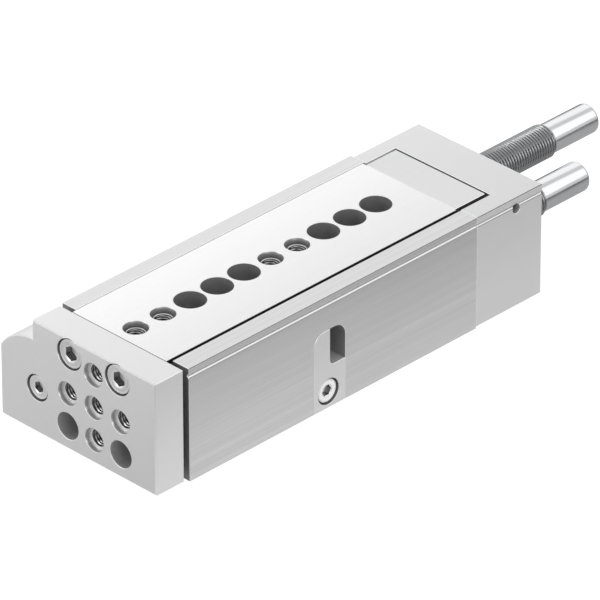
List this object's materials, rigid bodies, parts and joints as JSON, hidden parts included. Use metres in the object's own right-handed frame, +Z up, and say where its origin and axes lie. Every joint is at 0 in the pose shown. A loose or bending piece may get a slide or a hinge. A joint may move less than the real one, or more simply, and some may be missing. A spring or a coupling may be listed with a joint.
{
  "type": "pneumatic slide table",
  "caption": "Compact slide table: a slide with an end plate runs in a grooved housing on ball guides, moved by a side cylinder and cushioned by rear shock absorbers.",
  "frame": {"origin": "middle of the housing's flat base, on the middle plane of the end plate's hole pattern", "axes": "+X along the travel, from the rear cap towards the end plate; +Z up, out of the slide's top face; +Y towards the side with the let-in stop"},
  "size_m": [0.2005, 0.0594, 0.0347],
  "materials": {
    "anodised_housing": "clear anodised, lightly brushed",
    "anodised_plate": "clear anodised, fine brushed",
    "cast_cap": "clear anodised, fine bead blasted",
    "stop_steel": "ground",
    "slide_steel": "fine brushed",
    "rail_steel": "hardened and ground",
    "rod_steel": "ground and polished",
    "ball_steel": "polished",
    "polished_sleeve": "polished",
    "thread_steel": "plated thread",
    "screw_steel": "zinc plated",
    "ring_steel": "spring steel",
    "turned_aluminium": "turned",
    "bronze": "bearing bronze",
    "seal_rubber": "moulded",
    "magnet": "bonded magnet",
    "cage_brass": "rolled strip"
  },
  "bodies": {
    "housing": {"housing": "anodised_housing", "rear_cap": "cast_cap", "cap_screws": "screw_steel", "guide_rail_left": "rail_steel", "guide_rail_right": "rail_steel", "rod_gland": "bronze", "rod_seal": "seal_rubber", "gland_o_ring": "seal_rubber", "gland_retaining_ring": "ring_steel", "barrel_plug": "turned_aluminium", "barrel_plug_o_ring": "seal_rubber", "side_stop": "stop_steel", "side_stop_screw": "screw_steel", "retract_absorber_tube": "thread_steel", "retract_absorber_sleeve": "polished_sleeve", "retract_absorber_bush": "bronze", "retract_lock_nut": "screw_steel"},
    "slide": {"slide": "slide_steel", "yoke_plate": "anodised_plate", "yoke_screws": "screw_steel", "rod_screw": "screw_steel", "piston_rod": "rod_steel", "piston": "turned_aluminium", "piston_magnet": "magnet", "piston_seals": "seal_rubber", "piston_nut": "screw_steel", "stop_block": "stop_steel", "stop_block_screws": "screw_steel", "extend_absorber_tube": "thread_steel", "extend_absorber_sleeve": "polished_sleeve", "extend_absorber_bush": "bronze", "extend_lock_nut": "screw_steel"},
    "left_cage": {"ball_cage_left": "cage_brass", "guide_balls_left": "ball_steel"},
    "right_cage": {"ball_cage_right": "cage_brass", "guide_balls_right": "ball_steel"},
    "retract_plunger": {"retract_absorber_plunger": "rod_steel"},
    "extend_plunger": {"extend_absorber_plunger": "rod_steel"}
  },
  "joints": [
    {"name": "slide_travel", "type": "slide", "parent": "housing", "child": "slide", "axis": [1, 0, 0], "range_m": [0, 0.04]},
    {"name": "left_cage_travel", "type": "slide", "parent": "housing", "child": "left_cage", "axis": [1, 0, 0], "range_m": [0, 0.02]},
    {"name": "right_cage_travel", "type": "slide", "parent": "housing", "child": "right_cage", "axis": [1, 0, 0], "range_m": [0, 0.02]},
    {"name": "retract_plunger_travel", "type": "slide", "parent": "housing", "child": "retract_plunger", "axis": [1, 0, 0], "range_m": [-0.006, 0], "stiffness_N_per_m": 500},
    {"name": "extend_plunger_travel", "type": "slide", "parent": "slide", "child": "extend_plunger", "axis": [1, 0, 0], "range_m": [-0.006, 0], "stiffness_N_per_m": 500}
  ],
  "couplings": [
    {"joint": "left_cage_travel", "follows": "slide_travel", "ratio": 0.5},
    {"joint": "right_cage_travel", "follows": "slide_travel", "ratio": 0.5}
  ]
}
